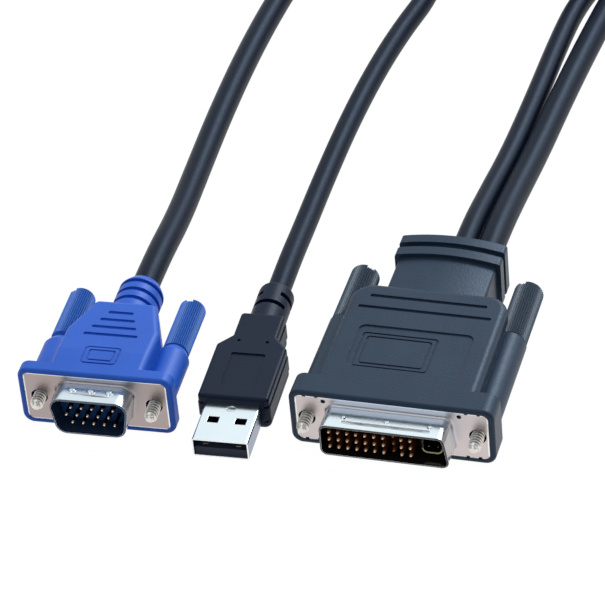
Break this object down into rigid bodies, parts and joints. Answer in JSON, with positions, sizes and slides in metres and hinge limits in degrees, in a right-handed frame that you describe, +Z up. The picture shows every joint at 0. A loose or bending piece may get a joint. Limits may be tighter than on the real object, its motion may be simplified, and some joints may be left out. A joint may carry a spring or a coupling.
{
  "type": "video adapter cable",
  "caption": "Adapter cable joining a wide black projector plug to a blue D-shaped video plug and a flat data plug, with knurled captive thumbscrews and the slack tied in a coil.",
  "frame": {"origin": "on the table, below the middle of the projector plug's flange", "axes": "+X to the right seen from the plugs' mating side, +Y towards the cables, +Z up"},
  "size_m": [0.1228, 0.2941, 0.0226],
  "materials": {
    "black_moulding": "satin moulded vinyl",
    "blue_moulding": "satin moulded vinyl",
    "cable_jacket": "satin flexible jacket",
    "plated_steel": "bright plating",
    "screw_steel": "bright plating",
    "gilt_contact": "gilt",
    "dark_insulator": "moulded",
    "core_insulation": "extruded",
    "tie_strap": "woven strap"
  },
  "bodies": {
    "cable_set": {"projector_hood": "black_moulding", "projector_shell": "plated_steel", "projector_insulator": "dark_insulator", "projector_pins": "gilt_contact", "projector_coaxial_pins": "gilt_contact", "projector_coaxial_shield": "gilt_contact", "projector_cable_cores": "core_insulation", "video_hood": "blue_moulding", "video_shell": "plated_steel", "video_insulator": "dark_insulator", "video_pins": "gilt_contact", "video_cable_cores": "core_insulation", "data_hood": "black_moulding", "data_shell": "plated_steel", "data_tongue": "dark_insulator", "data_contacts": "gilt_contact", "data_cable_cores": "core_insulation", "video_cable_projector_end": "cable_jacket", "video_cable_plug_end": "cable_jacket", "data_cable_projector_end": "cable_jacket", "data_cable_plug_end": "cable_jacket", "cable_coil": "cable_jacket", "cable_tie": "tie_strap"},
    "projector_left_thumbscrew": {"projector_left_knob": "black_moulding", "projector_left_screw": "screw_steel"},
    "projector_right_thumbscrew": {"projector_right_knob": "black_moulding", "projector_right_screw": "screw_steel"},
    "video_left_thumbscrew": {"video_left_knob": "blue_moulding", "video_left_screw": "screw_steel"},
    "video_right_thumbscrew": {"video_right_knob": "blue_moulding", "video_right_screw": "screw_steel"}
  },
  "joints": [
    {"name": "projector_left_thumbscrew_turn", "type": "hinge", "parent": "cable_set", "child": "projector_left_thumbscrew", "pos_m": [-0.0181, 0.03, 0.00695], "axis": [0, 1, 0], "continuous": true},
    {"name": "projector_right_thumbscrew_turn", "type": "hinge", "parent": "cable_set", "child": "projector_right_thumbscrew", "pos_m": [0.0181, 0.03, 0.00695], "axis": [0, 1, 0], "continuous": true},
    {"name": "video_left_thumbscrew_turn", "type": "hinge", "parent": "cable_set", "child": "video_left_thumbscrew", "pos_m": [-0.07629, 0.01369, 0.00725], "axis": [-0.0419, 0.9991, 0], "continuous": true},
    {"name": "video_right_thumbscrew_turn", "type": "hinge", "parent": "cable_set", "child": "video_right_thumbscrew", "pos_m": [-0.05132, 0.01474, 0.00725], "axis": [-0.0419, 0.9991, 0], "continuous": true}
  ]
}
